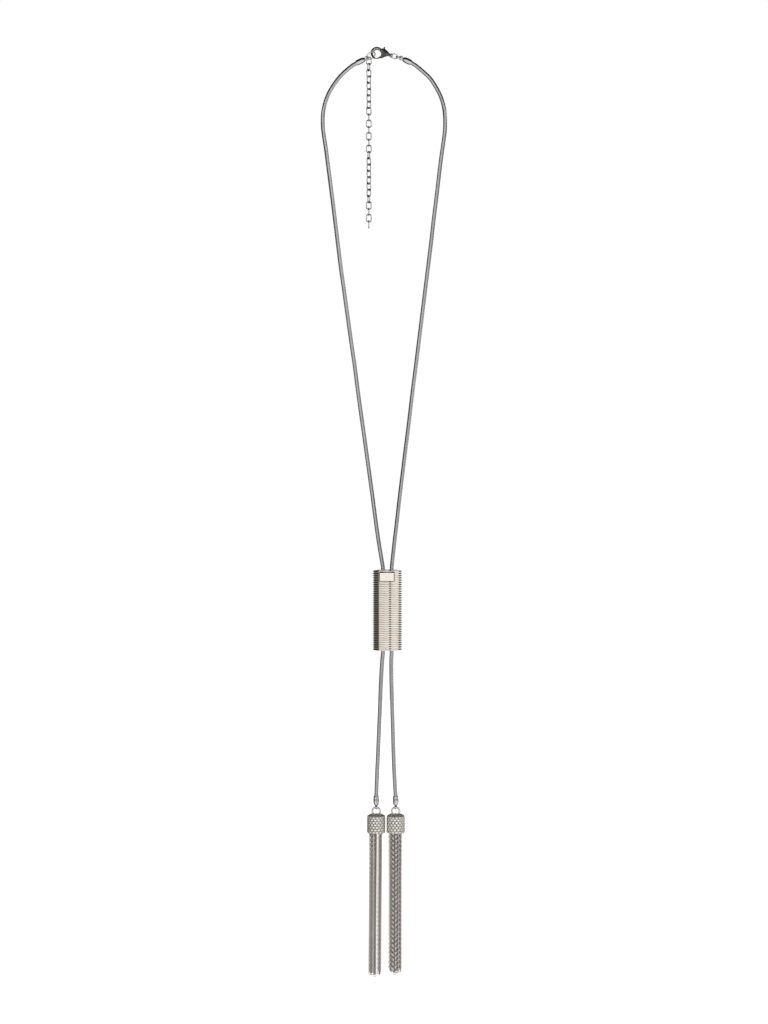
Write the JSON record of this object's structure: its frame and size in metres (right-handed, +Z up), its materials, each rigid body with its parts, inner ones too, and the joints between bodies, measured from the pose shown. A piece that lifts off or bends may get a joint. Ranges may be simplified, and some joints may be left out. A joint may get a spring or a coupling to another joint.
{
  "type": "tassel necklace",
  "caption": "Long silver-coloured lariat necklace of round snake chain with a ribbed slider tube, two capped chain tassels, and a lobster clasp with an extender chain.",
  "frame": {"origin": "Where the necklace hangs at the nape: just under the clasp, in the middle between the two strands", "axes": "+X to the wearer's left, shown at the right in front view; +Y into the picture, away from the viewer; +Z up"},
  "size_m": [0.0663, 0.0158, 0.4877],
  "materials": {
    "bright_metal": "polished rhodium-coloured plating",
    "clasp_metal": "polished plating, a little darker",
    "chain_metal": "polished plated chain",
    "slider_metal": "satin bright plating over cast ribs",
    "cap_metal": "polished plating over cast grains"
  },
  "bodies": {
    "root": {"clasp_body": "clasp_metal", "clasp_ring": "bright_metal", "crimp_ring": "bright_metal", "extender_ring": "bright_metal", "extender_chain": "clasp_metal", "crimp_top_left": "bright_metal", "crimp_top_right": "bright_metal", "snake_chain_left": "chain_metal", "snake_chain_right": "chain_metal", "slider": "slider_metal", "crimp_bottom_left": "bright_metal", "crimp_bottom_right": "bright_metal"},
    "lever": {"clasp_lever": "clasp_metal"},
    "tassel_left": {"tassel_cap_left": "cap_metal", "tassel_fringe_left": "chain_metal"},
    "tassel_right": {"tassel_cap_right": "cap_metal", "tassel_fringe_right": "chain_metal"}
  },
  "joints": [
    {"name": "clasp_lever", "type": "hinge", "parent": "root", "child": "lever", "pos_m": [-0.00076, 0, 0.00125], "axis": [0, 1, 0], "range_deg": [0, 22], "stiffness_Nm_per_rad": 0.002},
    {"name": "tassel_left_swing", "type": "hinge", "parent": "root", "child": "tassel_left", "pos_m": [-0.0041, 0, -0.39346], "axis": [1, 0, 0], "range_deg": [-30, 30]},
    {"name": "tassel_right_swing", "type": "hinge", "parent": "root", "child": "tassel_right", "pos_m": [0.00613, 0, -0.39346], "axis": [1, 0, 0], "range_deg": [-30, 30]}
  ]
}
